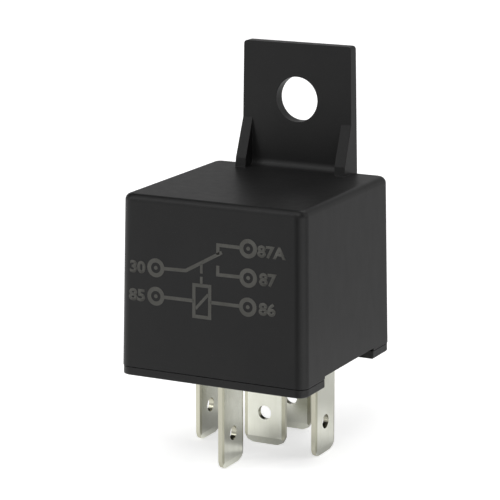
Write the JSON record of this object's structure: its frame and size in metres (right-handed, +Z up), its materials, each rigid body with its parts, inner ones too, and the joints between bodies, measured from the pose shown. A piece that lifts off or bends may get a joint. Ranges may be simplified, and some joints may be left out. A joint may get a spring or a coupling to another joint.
{
  "type": "automotive relay",
  "caption": "Black box-shaped automotive relay with a drilled mounting tab above and flat plug-in blades below; an electromagnet inside tips an armature between two contacts.",
  "frame": {"origin": "in the plane of the blade tips, midway across the case's width and depth", "axes": "+X runs right along the face with the diagram, +Y runs from that face to the tab, +Z is up from the blades to the tab"},
  "size_m": [0.028, 0.0284, 0.0556],
  "materials": {
    "cover_plastic": "fine-grained moulded black nylon",
    "base_plastic": "moulded black nylon",
    "terminal_tin": "bright tin plate on a copper alloy strip",
    "magnet_iron": "zinc-plated soft iron",
    "bobbin_nylon": "natural moulded nylon",
    "winding_copper": "enamelled copper wire",
    "coil_tape_film": "polyester tape",
    "leaf_copper": "bare copper alloy leaf",
    "rivet_metal": "bare brass",
    "contact_silver": "silver alloy",
    "spring_steel": "bright spring steel"
  },
  "bodies": {
    "case": {"base": "base_plastic", "bobbin": "bobbin_nylon", "coil_lead_85": "winding_copper", "coil_lead_86": "winding_copper", "coil_tape": "coil_tape_film", "core": "magnet_iron", "cover": "cover_plastic", "fixed_contact_closed": "contact_silver", "fixed_contact_open": "contact_silver", "return_spring": "spring_steel", "terminal_30": "terminal_tin", "terminal_85": "terminal_tin", "terminal_86": "terminal_tin", "terminal_87": "terminal_tin", "terminal_87a": "terminal_tin", "winding": "winding_copper", "yoke": "magnet_iron"},
    "armature": {"armature": "magnet_iron", "contact_spring": "leaf_copper", "leaf_rivet_front": "rivet_metal", "leaf_rivet_rear": "rivet_metal", "moving_contact": "contact_silver"}
  },
  "joints": [
    {"name": "armature_hinge", "type": "hinge", "parent": "case", "child": "armature", "pos_m": [0, -0.0099, 0.03094], "axis": [-1, 0, 0], "range_deg": [0, 3.3], "stiffness_Nm_per_rad": 0.02, "springref_deg": -17.19, "deforming": ["return_spring"]}
  ]
}
